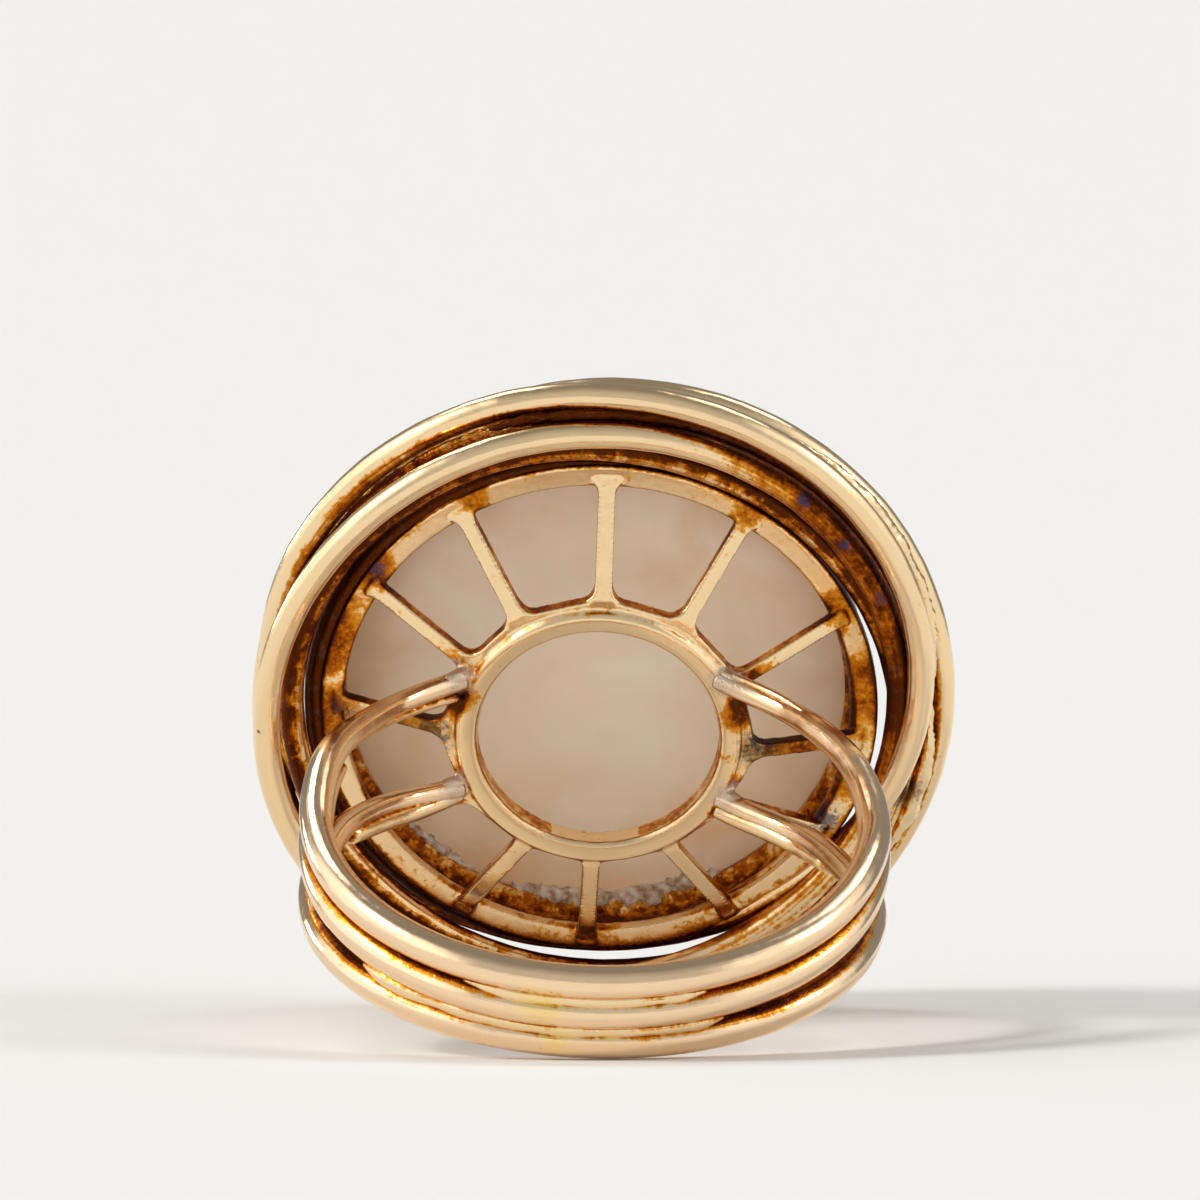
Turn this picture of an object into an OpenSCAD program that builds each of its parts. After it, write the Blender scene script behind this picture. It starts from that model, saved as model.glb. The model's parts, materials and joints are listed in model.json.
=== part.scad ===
// Mabe pearl cocktail ring: a domed pearl in a round bezel, an openwork
// gallery behind it, six interlaced wires round it and a shank of three wires.
// It lies on its side, as it rests by itself. Millimetres.
//
// Worn frame: x across the finger, y from the finger to the pearl, z along
// the finger. The lay() module turns the worn ring into its resting place.

/* [Finger] */
// Inside diameter of the shank
finger_d = 17.4; // [16:0.1:19]
// How deep the inside of the wires is filed flat
filed_depth = 0.05; // [0.03:0.01:0.12]

/* [Shank] */
// Diameter of each of the three shank wires
shank_wire_d = 1.16; // [1:0.02:1.3]
// Distance between neighbouring wires at the back
wire_pitch = 1.1; // [1:0.02:1.14]
// Lean of the outer wires, which parts them towards the head
splay = 3.15; // [2:0.05:4]
// Angle from the back to where the lower wire leaves its circle
lower_reach = 106; // [100:1:110]
// Angle from the back to where the upper wire leaves its circle
upper_reach = 137; // [136:1:140]
// Angle from the back to the end of the middle wire
middle_reach = 113; // [105:1:120]
// Diameter of an arm at its elbow, its knee and its solder joint
elbow_d = 0.96; // [0.8:0.02:1.1]
knee_d = 0.78; // [0.7:0.02:0.9]
joint_d = 0.7; // [0.6:0.02:0.8]
// Diameter of the bars along the lower arms
bar_d = 0.62; // [0.5:0.02:0.8]

/* [Gallery] */
// Radius of the inner ring's middle line
inner_ring_r = 4.45; // [4.2:0.05:4.7]
// Width and depth of the inner ring's section
inner_ring_w = 0.76; // [0.6:0.02:0.9]
inner_ring_t = 0.9; // [0.7:0.05:1]
// Outside radius of the outer ring
outer_ring_r = 9.38; // [9.2:0.02:9.6]
// Width of the outer ring's flat face
outer_ring_w = 0.6; // [0.5:0.02:0.7]
// How much deeper the outer ring lies than the inner one
gallery_rise = 2.05; // [1.8:0.05:2.3]
// Width of a spoke
spoke_w = 0.56; // [0.45:0.01:0.65]
// Depth of a spoke
spoke_t = 0.6; // [0.5:0.02:0.7]
// How far the head sits below the middle of the shank
head_drop = 0.2; // [0:0.05:0.4]

/* [Pearl] */
// Diameter of the pearl
pearl_d = 17.5; // [17:0.1:17.6]
// Height of the nacre dome
dome_h = 6.6; // [5.5:0.1:8]
// Thickness of the mother-of-pearl back
backing_t = 0.8; // [0.6:0.05:1]
// Depth of the pearl's back behind the outer ring's face
pearl_depth = 1.75; // [1.6:0.05:2]
// Clearance round the pearl
pearl_gap = 0.06; // [0.04:0.01:0.1]
// How far left of the gallery the bezel and the pearl sit
pearl_left = 0.15; // [0:0.01:0.3]

/* [Rest] */
// How far the ring rolls to its right side as it settles on its side
rest_roll = 2.3; // [0:0.1:5]

/* [Hidden] */
gold = [0.83, 0.66, 0.39];
nacre = [0.93, 0.90, 0.86];
shell = [0.76, 0.66, 0.57];
round_n = 64;

finger_r = finger_d / 2;
shank_r = finger_r + shank_wire_d / 2 - filed_depth;
// Height of the outer wires' circles at the sides of the finger
side_f = wire_pitch + shank_r * tan(splay);

// Depths along y of the gallery and the pearl, from the finger outwards
inner_back = finger_r + 0.06;
inner_mid = inner_back + inner_ring_t / 2;
outer_back = inner_back + gallery_rise;
pearl_back = outer_back + pearl_depth;
dome_base = pearl_back + backing_t + pearl_gap;
bezel_inner_r = pearl_d / 2 + pearl_gap + 0.04;
bezel_outer_r = outer_ring_r - 0.23;
bezel_top = dome_base + 0.55;

// Spokes, as clock angles from the top of the head
spoke_clock = [0, 32, 64, 95, 120, 149, 181, 209, 240, 270, 300, 327];

// Arms of the lower wire. Columns: side (-1 left), level (-1 below), elbow,
// knee, end in the inner ring.
arms = [
    [-1, -1, [-8.1, 5.7, -1.8], [-6.6, 7.7, -2.2],  [-4.3, 9.05, -2.2]],
    [ 1, -1, [ 8.2, 5.0, -2.4], [6.25, 7.6, -2.6],  [ 4.2, 9.05, -2.3]]
];

// Arms of the upper wire. Columns: side, end in the inner ring.
short_arms = [
    [-1, [-4.4, 9.05, 1.75]],
    [ 1, [3.95, 9.0,  2.15]]
];

// Bars laid along the arms. Columns: cut end, end at the joint, radius.
bars = [
    [[-8.15, 5.2, -2.2], [-4.9, 8.8, -2.75], bar_d / 2],
    [[ 7.8,  5.3, -2.7], [ 4.2, 8.8, -2.85], bar_d / 2]
];

// Halo wires. Each is a round ring, off centre and tilted as it weaves.
// Columns: ring radius, shift right, shift up, depth, how much deeper
// its right side is, how much deeper its top is, wire radius.
halo = [
    [10.93, -0.13,  1.32, 10.85, -0.50, -0.70, 0.48],
    [11.07,  0.49, -0.64, 12.92, -0.28,  0.96, 0.50],
    [10.73, -0.52,  0.40,  9.58,  1.20, -0.10, 0.46],
    [10.90, -0.40, -0.65, 11.60,  0.04,  0.46, 0.45],
    [10.25, -0.09, -0.15, 10.70,  0.40,  0.15, 0.43],
    [ 9.22, -0.28, -0.20, 11.30,  0.00,  0.00, 0.34]
];

// A ring's centre and normal in the worn frame
function ring_centre(h) = [h[1], h[3], h[2]];
function ring_normal(h) =
    let (n = [-h[4] / h[0], 1, -h[5] / h[0]]) n / norm(n);

// How far a ring of wire reaches from the worn origin in a direction
function reach(centre, normal, ring_r, wire_r, dir) =
    centre * dir + ring_r * sqrt(1 - pow(normal * dir, 2)) + wire_r;
function halo_reach(dir) =
    max([for (h = halo) reach(ring_centre(h), ring_normal(h), h[0], h[6], dir)]);
function shank_reach(dir) =
    reach([0, 0, -side_f], [0, sin(splay), cos(splay)],
          shank_r, shank_wire_d / 2, dir);

// Straight down in the worn frame when the ring is tipped by an angle
function down(tilt) = [cos(tilt) * sin(rest_roll), -sin(tilt),
                       -cos(tilt) * cos(rest_roll)];
// The ring rests on its halo and on the back of its lowest shank wire
function settle(low, high, turns) =
    let (mid = (low + high) / 2)
    turns == 0 ? mid
    : halo_reach(down(mid)) > shank_reach(down(mid))
        ? settle(mid, high, turns - 1)
        : settle(low, mid, turns - 1);
rest_tilt = settle(5, 60, 40);
rest_lift = halo_reach(down(rest_tilt));

// The rested ring is centred over the floor on its bounding box
to_right = [cos(rest_roll), 0, sin(rest_roll)];
to_pearl = [sin(rest_tilt) * sin(rest_roll), cos(rest_tilt),
            -sin(rest_tilt) * cos(rest_roll)];
dome_r = (pow(pearl_d / 2, 2) + pow(dome_h, 2)) / (2 * dome_h);
dome_centre = dome_base + dome_h - dome_r;
// The dome's furthest point is where its sphere faces straight away
front_reach = [-pearl_left, dome_centre, -head_drop] * to_pearl + dome_r;
back_reach = reach([0, 0, side_f], [0, -sin(splay), cos(splay)],
                   shank_r, shank_wire_d / 2, -to_pearl);
left_reach = halo_reach(-to_right);
right_reach = halo_reach(to_right);

module lay() {
    translate([(left_reach - right_reach) / 2,
               (back_reach - front_reach) / 2, rest_lift])
        rotate([rest_tilt, 0, 0])
            rotate([0, rest_roll, 0])
                children();
}

// Places what is drawn with z towards the pearl and y down, at a depth
module on_head(depth, left = 0) {
    translate([-left, depth, -head_drop])
        rotate([-90, 0, 0])
            children();
}

module wire_arc(ring_r, wire_r, reach_angle) {
    rotate_extrude(angle = 2 * reach_angle, start = 270 - reach_angle, $fn = round_n)
        translate([ring_r, 0])
            circle(r = wire_r, $fn = 24);
}

// A round bar between two points, which may taper
module bar(from, to, from_r, to_r) {
    along = to - from;
    length = norm(along);
    translate(from)
        rotate([0, acos(along.z / length), atan2(along.y, along.x)])
            cylinder(r1 = from_r, r2 = to_r, h = length, $fn = 24);
}

// The three round wires, before their inside is filed
module shank_wires() {
    translate([0, 0, side_f])
        rotate([splay, 0, 0])
            {
                wire_arc(shank_r, shank_wire_d / 2, lower_reach);
                for (side = [0, 1])
                    mirror([side, 0, 0])
                        rotate_extrude(angle = upper_reach - lower_reach,
                                       start = 270 + lower_reach, $fn = round_n)
                            translate([finger_r - filed_depth + elbow_d / 2, 0])
                                circle(r = elbow_d / 2, $fn = 24);
            }
    translate([0, 0, side_f - wire_pitch])
        rotate([splay, 0, 0])
            wire_arc(shank_r, shank_wire_d / 2, middle_reach);
    translate([0, 0, -side_f])
        rotate([-splay, 0, 0])
            wire_arc(shank_r, shank_wire_d / 2, lower_reach);
}

// Where an outer wire leaves its circle: level is 1 above and -1 below
function wire_end(side, level) =
    let (leaves = level > 0 ? upper_reach : lower_reach)
    [side * shank_r * sin(leaves), -shank_r * cos(leaves),
     level * (side_f - shank_r * cos(leaves) * tan(splay))];

// An arm goes on from a wire, thinning, past its bends to the inner ring.
// Each bend is a ball a little thicker than the bars that it joins.
module arm(a) {
    end = wire_end(a[0], a[1]);
    translate(end)
        sphere(r = shank_wire_d / 2 + 0.05, $fn = 24);
    bar(end, a[2], elbow_d / 2 + 0.02, elbow_d / 2 - 0.03);
    translate(a[2])
        sphere(r = elbow_d / 2 + 0.03, $fn = 24);
    bar(a[2], a[3], elbow_d / 2 - 0.04, knee_d / 2);
    translate(a[3])
        sphere(r = knee_d / 2 + 0.05, $fn = 24);
    bar(a[3], a[4], knee_d / 2 - 0.01, joint_d / 2);
}

// The upper wire's arms are short, for it keeps to its circle for longer
module short_arm(a) {
    end = wire_end(a[0], 1);
    translate(end)
        sphere(r = elbow_d / 2 + 0.12, $fn = 24);
    bar(end, a[1], elbow_d / 2 - 0.03, joint_d / 2);
}

module gallery() {
    // inner ring, its edges taken off
    on_head(inner_back)
        rotate_extrude($fn = round_n)
            translate([inner_ring_r - inner_ring_w / 2, 0])
                polygon([[0.16, 0], [inner_ring_w - 0.2, 0], [inner_ring_w, 0.22],
                         [inner_ring_w, inner_ring_t - 0.1],
                         [inner_ring_w - 0.1, inner_ring_t],
                         [0.1, inner_ring_t], [0, inner_ring_t - 0.1], [0, 0.16]]);
    for (clock = spoke_clock)
        spoke(clock);
    // outer ring, a flat face towards the finger
    on_head(outer_back)
        rotate_extrude($fn = round_n)
            translate([outer_ring_r - outer_ring_w, 0])
                polygon([[0, 0], [outer_ring_w, 0], [outer_ring_w, 0.55],
                         [outer_ring_w - 0.1, 0.65], [0, 0.65]]);
}

// A flat-faced bar that climbs from the inner ring to the outer one
module spoke(clock) {
    start_r = inner_ring_r + 0.1;
    end_r = outer_ring_r - 0.18;
    climb = outer_back - inner_back - 0.28;
    length = norm([end_r - start_r, climb]);
    on_head(inner_back + 0.38)
        rotate([0, 0, clock - 90])
            translate([start_r, 0, 0])
                rotate([0, -atan2(climb, end_r - start_r), 0])
                    translate([0, -spoke_w / 2, -spoke_t / 2])
                        cube([length, spoke_w, spoke_t]);
}

// The bezel wall on the outer ring, with the pearl's ledge and the lip over it
module bezel() {
    foot = 0.35;
    ledge = pearl_back - outer_back - pearl_gap - foot;
    top = bezel_top - outer_back - foot;
    on_head(outer_back + foot, pearl_left)
        rotate_extrude($fn = round_n)
            polygon([[bezel_inner_r - 0.05, 0], [bezel_outer_r, 0],
                     [bezel_outer_r, top - 0.35],
                     [bezel_outer_r - 0.2, top], [bezel_inner_r - 0.1, top],
                     [bezel_inner_r, top - 0.3], [bezel_inner_r, ledge],
                     [bezel_inner_r - 0.4, ledge], [bezel_inner_r - 0.4, ledge - 0.25],
                     [bezel_inner_r - 0.05, ledge - 0.5]]);
}

module halo_wires() {
    for (h = halo)
        translate(ring_centre(h))
            rotate([-90, 0, 0])
                rotate(a = atan(norm([h[4], h[5]]) / h[0]), v = [-h[5], -h[4], 0])
                    rotate_extrude($fn = round_n)
                        translate([h[0], 0])
                            circle(r = h[6], $fn = 24);
}

// All the metal, soldered into one piece, with the finger hole filed round
module mounting() {
    color(gold)
        lay()
            difference() {
                union() {
                    shank_wires();
                    for (a = arms)
                        arm(a);
                    for (a = short_arms)
                        short_arm(a);
                    for (b = bars)
                        bar(b[0], b[1], b[2], b[2]);
                    gallery();
                    bezel();
                    halo_wires();
                }
                cylinder(r = finger_r, h = 4 * side_f, center = true, $fn = round_n);
            }
}

// The nacre dome: the cap of a sphere
module pearl_dome() {
    color(nacre)
        lay()
            on_head(dome_base, pearl_left)
                intersection() {
                    translate([0, 0, dome_h - dome_r])
                        sphere(r = dome_r, $fn = round_n);
                    cylinder(r = pearl_d / 2 + 1, h = dome_h + 1, $fn = round_n);
                }
}

// The flat mother-of-pearl disc that closes the back
module pearl_backing() {
    color(shell)
        lay()
            on_head(pearl_back, pearl_left)
                cylinder(r = pearl_d / 2, h = backing_t, $fn = round_n);
}

mounting();
pearl_dome();
pearl_backing();
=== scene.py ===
import json
import math
from collections import namedtuple

import bmesh
import bpy
from mathutils import Matrix, Vector, noise
from mathutils.bvhtree import BVHTree


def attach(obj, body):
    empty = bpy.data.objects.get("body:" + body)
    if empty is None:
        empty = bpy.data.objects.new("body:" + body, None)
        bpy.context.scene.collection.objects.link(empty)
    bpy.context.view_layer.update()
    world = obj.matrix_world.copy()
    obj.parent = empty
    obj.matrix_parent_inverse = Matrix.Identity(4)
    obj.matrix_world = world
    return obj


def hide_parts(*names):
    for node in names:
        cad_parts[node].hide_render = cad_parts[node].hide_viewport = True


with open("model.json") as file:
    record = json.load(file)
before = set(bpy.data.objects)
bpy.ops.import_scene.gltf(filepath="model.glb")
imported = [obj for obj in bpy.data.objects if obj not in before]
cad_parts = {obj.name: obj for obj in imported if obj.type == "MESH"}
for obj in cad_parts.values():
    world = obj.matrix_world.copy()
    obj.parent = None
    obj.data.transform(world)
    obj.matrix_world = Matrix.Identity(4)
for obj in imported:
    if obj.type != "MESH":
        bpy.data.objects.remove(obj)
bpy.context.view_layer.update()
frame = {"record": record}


# Camera
# It looks at the ring as the photograph does: from behind the shank, a
# little above the table, a long way off through a long lens.
finger_hole = frame["record"]["mounts"][0]
finger_axis = Vector(finger_hole["axis"]).normalized()
tip = math.atan2(-finger_axis.y, finger_axis.z)
pearl_axis = Vector((0, math.cos(tip), math.sin(tip)))
across = pearl_axis.cross(finger_axis)
shank_centre = Vector(finger_hole["pos_m"])

# From the worn ring in millimetres (x across the finger, y towards the pearl,
# z along the finger) to the resting ring in metres
mm = 0.001
worn = (Matrix.Translation(shank_centre)
        @ Matrix((across, pearl_axis, finger_axis)).transposed().to_4x4()
        @ Matrix.Scale(mm, 4))

view_lean = math.radians(30.7)
view_distance = 450
picture_px = 1200
px_per_mm = 30.2
shank_centre_px = (593.5, 868)

sight = Vector((0, math.cos(view_lean), -math.sin(view_lean)))
sight_world = (worn.to_3x3() @ sight).normalized()
picture_right = sight_world.cross(Vector((0, 0, 1))).normalized()
picture_up = picture_right.cross(sight_world)
aim = (shank_centre
       + picture_right * (picture_px / 2 - shank_centre_px[0]) / px_per_mm * mm
       + picture_up * (shank_centre_px[1] - picture_px / 2) / px_per_mm * mm)
eye = shank_centre - sight_world * view_distance * mm

camera_data = bpy.data.cameras.new("camera")
camera_data.sensor_width = 36
camera_data.lens = px_per_mm * view_distance / picture_px * camera_data.sensor_width
camera_data.clip_start = 0.01
camera_data.clip_end = 60
camera = bpy.data.objects.new("camera", camera_data)
camera.location = eye
camera.rotation_euler = (aim - eye).to_track_quat("-Z", "Y").to_euler()
bpy.context.scene.collection.objects.link(camera)
bpy.context.scene.camera = camera


# Table and light
# A wide white table top in a dim pale room, with a large soft light on the
# left, a smaller one on the right and three small bright ones, two overhead
# and one behind on the left, which draw bright lines and spots on the wires.
table_r = 25
table_mesh = bmesh.new()
bmesh.ops.create_circle(table_mesh, cap_ends=True, radius=table_r, segments=64)
table_data = bpy.data.meshes.new("table")
table_mesh.to_mesh(table_data)
table_mesh.free()
table = bpy.data.objects.new("table", table_data)
bpy.context.scene.collection.objects.link(table)


def new_material(name):
    """A new material with its nodes, its links and its surface shader."""
    material = bpy.data.materials.new(name)
    material.use_nodes = True
    tree = material.node_tree
    return material, tree.nodes, tree.links, tree.nodes["Principled BSDF"]


paper, _, _, paper_shader = new_material("paper")
paper_shader.inputs["Base Color"].default_value = (0.855, 0.852, 0.840, 1)
paper_shader.inputs["Roughness"].default_value = 0.9
paper_shader.inputs["Specular IOR Level"].default_value = 0.1
table_data.materials.append(paper)

room = bpy.data.worlds.new("room")
bpy.context.scene.world = room
room.use_nodes = True
nodes = room.node_tree.nodes
links = room.node_tree.links
direction = nodes.new("ShaderNodeTexCoord")


def room_glow(towards, angle_out, angle_in, dark, bright):
    """Light that rises from dark to bright inside a cone about a direction."""
    facing = nodes.new("ShaderNodeVectorMath")
    facing.operation = "DOT_PRODUCT"
    facing.inputs[1].default_value = Vector(towards).normalized()
    links.new(direction.outputs["Generated"], facing.inputs[0])
    glow = nodes.new("ShaderNodeMapRange")
    glow.interpolation_type = "SMOOTHSTEP"
    glow.inputs["From Min"].default_value = math.cos(math.radians(angle_out))
    glow.inputs["From Max"].default_value = math.cos(math.radians(angle_in))
    glow.inputs["To Min"].default_value = dark
    glow.inputs["To Max"].default_value = bright
    links.new(facing.outputs["Value"], glow.inputs["Value"])
    return glow.outputs["Result"]


# Each light's direction, the angles where it starts and is full, and its strength
Glow = namedtuple("Glow", "towards angle_out angle_in dark bright")
glows = {
    "front": Glow((0, -1, -0.1), 85, 15, 0.26, 0.58),
    "left": Glow((-1, -0.15, 0.30), 46, 28, 0.0, 1.05),
    "right": Glow((1, -0.15, 0.30), 42, 26, 0.0, 0.75),
    "above_left": Glow((-0.4, 0.45, 0.9), 13, 8, 0.0, 4.2),
    "above_right": Glow((0.45, 0.30, 0.9), 12, 7, 0.0, 3.2),
    "behind_left": Glow((-0.77, 0.63, 0.2), 7, 5, 0.0, 7.0),
}
brightness = None
for glow in glows.values():
    light = room_glow(*glow)
    if brightness:
        both = nodes.new("ShaderNodeMath")
        both.operation = "ADD"
        links.new(brightness, both.inputs[0])
        links.new(light, both.inputs[1])
        light = both.outputs["Value"]
    brightness = light
nodes["Background"].inputs["Color"].default_value = (1.0, 0.99, 0.97, 1)
links.new(brightness, nodes["Background"].inputs["Strength"])

# Two lamps cast the shadows: where from, how wide in degrees, how strong
Lamp = namedtuple("Lamp", "from_direction spread strength")
lamps = {
    "lamp_left": Lamp((-1.0, -0.25, 0.75), 12, 1.35),
    "lamp_right": Lamp((1.0, -0.1, 0.55), 16, 0.50),
}
for lamp_name, lamp in lamps.items():
    lamp_data = bpy.data.lights.new(lamp_name, "SUN")
    lamp_data.angle = math.radians(lamp.spread)
    lamp_data.energy = lamp.strength
    lamp_data.color = (1.0, 0.98, 0.95)
    lamp_object = bpy.data.objects.new(lamp_name, lamp_data)
    lamp_object.location = Vector(lamp.from_direction) * 0.3
    lamp_object.rotation_euler = Vector(lamp.from_direction).to_track_quat("Z", "Y").to_euler()
    bpy.context.scene.collection.objects.link(lamp_object)

bpy.context.scene.view_settings.view_transform = "Standard"


# Halo wires
# Six round gold wires of about a millimetre, each bent into a loose ring
# and soldered end to end, which pass over and under each other round the
# bezel. Each is off centre and tilted its own way.

# All the metal is polished yellow gold of low carat. It is pale where it has
# been handled and goes orange, then red-brown and nearly black, where dirt and
# the heat of soldering have stayed; the same tones paint the shade in recesses
# and on the wires' undersides. Solder shows as greyer patches with pits.
gold_colour = (0.95, 0.70, 0.40, 1)
GrimeColour = namedtuple("GrimeColour", "grime colour")
# the gold's tones from light to dark, for dirt and for painted shade
grime_and_shade_colours = (
    GrimeColour(0.42, (0.87, 0.50, 0.14, 1)), GrimeColour(0.58, (0.72, 0.29, 0.022, 1)),
    GrimeColour(0.74, (0.48, 0.13, 0.005, 1)), GrimeColour(0.88, (0.24, 0.052, 0.003, 1)),
)
clean_below = 0.22
blackest = (0.10, 0.022, 0.003, 1)
polish_film = (0.12, 0.07, 0.045, 1)

# Marks on the metal: what each is, where it is in worn millimetres, how wide
Mark = namedtuple("Mark", "kind x y z size")
marks = (
    Mark("solder", -4.80, 8.8, 2.05, 0.58), Mark("solder", -4.85, 8.8, -2.25, 0.58),
    Mark("solder", 4.45, 8.8, -2.20, 0.55), Mark("solder", 4.25, 8.8, 2.30, 0.62),
    Mark("heat", -7.60, 10.7, 4.95, 0.28), Mark("heat", 7.80, 10.9, -4.15, 0.45),
    Mark("heat", -8.60, 10.9, -0.40, 0.35), Mark("heat", 6.60, 9.9, 8.70, 0.22),
    Mark("heat", 8.00, 9.9, 7.00, 0.22), Mark("heat", 9.35, 10.0, 4.90, 0.25),
    Mark("heat", 5.30, 9.5, -0.35, 0.40), Mark("soot", -11.45, 7.95, 0.10, 0.09),
    Mark("soot", -5.60, 9.5, -0.50, 0.80), Mark("soot", 5.40, 9.5, -0.45, 0.85),
    Mark("soot", -6.60, 10.0, -0.30, 0.45), Mark("soot", 10.5, 11.0, -3.20, 0.60),
    Mark("brass", -1.60, -9.3, 0.35, 0.75), Mark("brass", -0.90, -9.3, -0.95, 0.60),
    Mark("brass", 0.70, -9.3, -0.70, 0.40),
    Mark("tarnish", -9.1, 10.9, 2.20, 1.6), Mark("tarnish", -8.8, 10.9, -0.60, 1.2),
    Mark("tarnish", 9.00, 10.9, 0.80, 1.5), Mark("tarnish", 8.30, 10.9, -2.60, 0.9),
    Mark("tarnish", -7.6, 10.9, 4.80, 0.8), Mark("tarnish", 4.70, 10.9, 7.50, 0.6),
    Mark("tarnish", 7.80, 10.9, 4.20, 0.7), Mark("tarnish", -4.4, 10.9, 7.80, 0.6),
    Mark("tarnish", 6.90, 9.8, -0.40, 1.5), Mark("tarnish", -6.4, 9.9, -0.30, 1.3),
    Mark("tarnish", 4.60, 8.9, 0.90, 0.6), Mark("tarnish", -4.6, 9.0, 1.10, 0.6),
    Mark("tarnish", 7.30, 9.8, 6.60, 0.5),
)

# How each kind looks, how much of it covers the gold and how ragged its edge is.
# Tarnish has no colour of its own: it adds to the grime.
MarkLook = namedtuple("MarkLook", "colour cover ragged")
mark_looks = {
    "solder": MarkLook((0.66, 0.54, 0.43, 1), 0.8, 0.4),
    "heat": MarkLook((0.045, 0.045, 0.11, 1), 0.8, 0.9),
    "soot": MarkLook((0.05, 0.024, 0.014, 1), 0.8, 0.4),
    "brass": MarkLook((0.95, 0.72, 0.20, 1), 0.5, 0.4),
    "tarnish": MarkLook(None, 0.42, 0.4),
}


def find_in_ring(nodes, links):
    """A spot's place in the worn ring, in millimetres, for a material's patterns."""
    place = nodes.new("ShaderNodeTexCoord")
    in_ring = nodes.new("ShaderNodeMapping")
    in_ring.vector_type = "TEXTURE"
    in_ring.inputs["Location"].default_value = worn.translation
    in_ring.inputs["Rotation"].default_value = worn.to_euler()
    in_ring.inputs["Scale"].default_value = (mm, mm, mm)
    links.new(place.outputs["Object"], in_ring.inputs["Vector"])
    return in_ring.outputs["Vector"]


def make_gold(name, shade_and_dirt=1.0, wear=0.13, stain=0.0, patchy=0.0, colour=gold_colour):
    """Gold darkened in recesses by dirt and painted shade, dulled by wear, and stained all over or in
    patches.
    """
    gold, nodes, links, shader = new_material(name)
    shader.inputs["Metallic"].default_value = 1

    in_ring = find_in_ring(nodes, links)
    drawn = nodes.new("ShaderNodeAttribute")
    drawn.attribute_name = "drawn"

    def cloud(scale, detail=5, rough=0.6, along=in_ring):
        texture = nodes.new("ShaderNodeTexNoise")
        texture.inputs["Scale"].default_value = scale
        texture.inputs["Detail"].default_value = detail
        texture.inputs["Roughness"].default_value = rough
        links.new(along, texture.inputs["Vector"])
        return texture.outputs["Fac"]

    def reckon(operation, first, second, clamp=False):
        step = nodes.new("ShaderNodeMath")
        step.operation = operation
        step.use_clamp = clamp
        for socket, value in zip(step.inputs, (first, second)):
            if isinstance(value, (int, float)):
                socket.default_value = value
            else:
                links.new(value, socket)
        return step.outputs["Value"]

    def spread(value, low, high, to_low=0.0, to_high=1.0):
        step = nodes.new("ShaderNodeMapRange")
        step.inputs["From Min"].default_value = low
        step.inputs["From Max"].default_value = high
        step.inputs["To Min"].default_value = to_low
        step.inputs["To Max"].default_value = to_high
        links.new(value, step.inputs["Value"])
        return step.outputs["Result"]

    # fine streaks along a wire, as the draw plate left them
    streaks = cloud(1.0, 3, 0.55, drawn.outputs["Vector"])
    speckle = cloud(5.0)

    # how far a spot lies in a recess, 0 in the open to 1 deep between wires; the gold is darkened
    # there, partly for dirt and partly as painted shade
    recess_shade_and_dirt = nodes.new("ShaderNodeAttribute")
    recess_shade_and_dirt.attribute_name = "recess_shade_and_dirt"
    # the recess value darkens the gold both as dirt and as painted shade
    grime = reckon("MULTIPLY", recess_shade_and_dirt.outputs["Fac"], shade_and_dirt)
    grime = reckon("ADD", grime, spread(cloud(0.9), 0.3, 0.7, -0.16, 0.18))
    grime = reckon("ADD", grime, spread(speckle, 0.3, 0.7, -0.14, 0.14))
    grime = reckon("ADD", grime, spread(streaks, 0.3, 0.7, -0.16, 0.16))
    grime = reckon("ADD", grime, stain)
    patches = reckon("MULTIPLY", spread(cloud(1.9, 6, 0.68), 0.46, 0.56, -0.5, 1.0), patchy)
    grime = reckon("ADD", grime, patches)

    # the marks, each with a ragged edge
    marked = {}
    for mark in marks:
        away = nodes.new("ShaderNodeVectorMath")
        away.operation = "DISTANCE"
        links.new(in_ring, away.inputs[0])
        away.inputs[1].default_value = (mark.x, mark.y, mark.z)
        rough_edge = mark.size * mark_looks[mark.kind].ragged
        ragged = reckon("ADD", away.outputs["Value"],
                        spread(speckle, 0.3, 0.7, -rough_edge, rough_edge))
        inside = spread(ragged, mark.size * 0.6, mark.size * 1.25, 1.0, 0.0)
        if mark.kind in marked:
            inside = reckon("MAXIMUM", marked[mark.kind], inside)
        marked[mark.kind] = inside
    tarnish = reckon("MULTIPLY", marked.pop("tarnish"), mark_looks["tarnish"].cover)
    grime = reckon("ADD", grime, tarnish)

    # the darkening of dirt and painted shade doesn't fade away, it ends in a crisp ragged edge
    grime = reckon("ADD", grime, spread(grime, 0.33, 0.39, -0.04, 0.12))

    tone = nodes.new("ShaderNodeValToRGB")
    tone.color_ramp.elements[0].position = clean_below
    tone.color_ramp.elements[0].color = colour
    tone.color_ramp.elements[1].position = 1.0
    tone.color_ramp.elements[1].color = blackest
    for deeper in grime_and_shade_colours:
        tone.color_ramp.elements.new(deeper.grime).color = deeper.colour
    links.new(grime, tone.inputs["Fac"])

    def blend(factor, under, over):
        mix = nodes.new("ShaderNodeMix")
        mix.data_type = "RGBA"
        links.new(factor, mix.inputs["Factor"])
        links.new(under, mix.inputs["A"])
        mix.inputs["B"].default_value = over
        return mix.outputs["Result"]

    # a thin grey film that old polish leaves in blotches beside the dirt and painted shade
    film = reckon("MULTIPLY", spread(cloud(2.6, 4, 0.7), 0.56, 0.70, 0.0, 0.5),
                  spread(grime, 0.40, 0.55))
    shade = blend(film, tone.outputs["Color"], polish_film)

    for kind, inside in marked.items():
        look = mark_looks[kind]
        shade = blend(reckon("MULTIPLY", inside, look.cover), shade, look.colour)
    links.new(shade, shader.inputs["Base Color"])

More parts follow.
